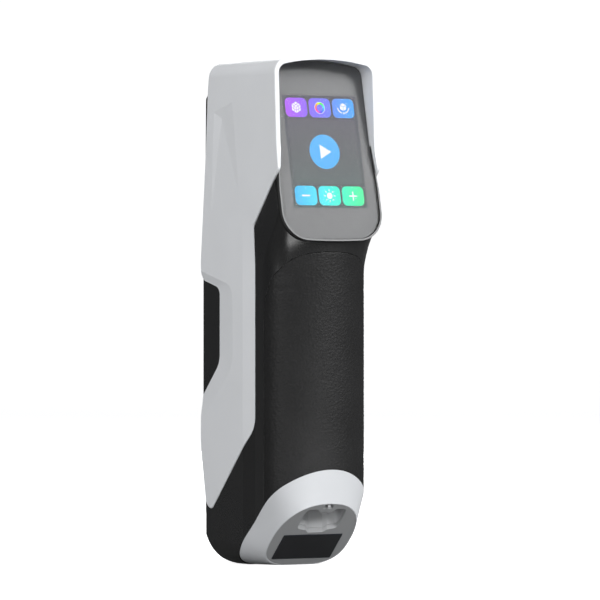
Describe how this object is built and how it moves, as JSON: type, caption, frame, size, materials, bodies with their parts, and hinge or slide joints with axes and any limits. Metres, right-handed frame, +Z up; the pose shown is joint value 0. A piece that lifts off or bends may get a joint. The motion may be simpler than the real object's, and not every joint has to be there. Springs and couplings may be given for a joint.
{
  "type": "handheld scanner",
  "caption": "Upright handheld 3-D scanner: rear touch screen under a hood, D-shaped rubber grip, slanted plug face, stereo optics on the front, sprung scan button.",
  "frame": {"origin": "on the flat foot, on the body's mid-plane and midway between the screen side and the optics side", "axes": "+Z up the body, +Y towards the object being scanned, +X to the right as the user sees the screen"},
  "size_m": [0.051, 0.0706, 0.217],
  "materials": {
    "shell_white": "satin moulded polycarbonate",
    "body_black": "fine satin moulded plastic",
    "grip_rubber": "leather-grained soft-touch rubber",
    "plate_grey": "smooth satin",
    "label_black": "printed polyester film",
    "bay_black": "moulded",
    "bezel_black": "moulded",
    "trim_grey": "satin painted",
    "screen_glass": "cover glass with printed grey border",
    "tape_black": "foam tape",
    "lcd": "lit display panel",
    "sheet_steel": "pressed sheet",
    "flex_amber": "polyimide film",
    "window_glass": "tinted optical window",
    "mask_black": "dead matt",
    "frame_alloy": "machined and bead blasted",
    "board_green": "solder mask",
    "board_white": "white solder mask",
    "lens_black": "black anodised",
    "lens_glass": "coated lens",
    "led_white": "LED package",
    "diffuser_white": "opal diffuser",
    "projector_alloy": "anodised",
    "laser_brass": "turned",
    "insert_brass": "knurled",
    "screw_steel": "plated",
    "screw_black": "black oxide",
    "chip_black": "moulded package",
    "thermal_pad": "silicone",
    "heat_sink_black": "black anodised",
    "connector_white": "moulded",
    "socket_steel": "drawn shell",
    "wire_red": "insulated wire",
    "button_grey": "soft touch",
    "switch_black": "moulded",
    "latch_black": "moulded",
    "spring_steel": "spring wire"
  },
  "bodies": {
    "body": {"outer_shell": "shell_white", "rear_housing": "body_black", "front_housing": "body_black", "grip_overmould": "grip_rubber", "bottom_collar": "shell_white", "port_plate": "plate_grey", "name_plate": "label_black", "plug_bay": "plate_grey", "screen_bezel": "bezel_black", "screen_trim": "trim_grey", "screen_glass": "screen_glass", "glass_tape": "tape_black", "lcd_panel": "lcd", "lcd_bracket": "sheet_steel", "display_flex": "flex_amber", "upper_window": "window_glass", "lower_window": "window_glass", "upper_optics_mask": "mask_black", "lower_optics_mask": "mask_black", "optical_frame": "frame_alloy", "upper_camera_board": "board_green", "lower_camera_board": "board_green", "colour_camera_board": "board_green", "lens_holders": "lens_black", "upper_camera_lens": "lens_black", "lower_camera_lens": "lens_black", "colour_camera_lens": "lens_black", "front_lens_elements": "lens_glass", "light_ring_boards": "board_white", "light_ring_leds": "led_white", "light_ring_diffusers": "diffuser_white", "speckle_projector": "projector_alloy", "laser_modules": "laser_brass", "laser_block": "frame_alloy", "main_board": "board_green", "board_standoffs": "insert_brass", "board_screws": "screw_steel", "processor": "chip_black", "memory_chips": "chip_black", "thermal_pad": "thermal_pad", "heat_sink": "heat_sink_black", "board_connectors": "connector_white", "camera_flexes": "flex_amber", "socket_board": "board_green", "cable_socket": "socket_steel", "power_harness": "wire_red", "case_screws": "screw_black", "threaded_inserts": "insert_brass", "frame_screws": "screw_steel", "button_switch": "switch_black", "button_board": "board_green", "button_posts": "frame_alloy", "latch_guide": "bay_black", "latch_spring": "spring_steel"},
    "button": {"scan_button": "button_grey"},
    "catch": {"cable_latch": "latch_black"}
  },
  "joints": [
    {"name": "scan_button_press", "type": "slide", "parent": "body", "child": "button", "axis": [0, -1, 0], "range_m": [0, 0.0012], "stiffness_N_per_m": 1500},
    {"name": "cable_catch_lift", "type": "slide", "parent": "body", "child": "catch", "axis": [0, 0, 1], "range_m": [0, 0.0015], "stiffness_N_per_m": 400, "deforming": ["latch_spring"]}
  ]
}
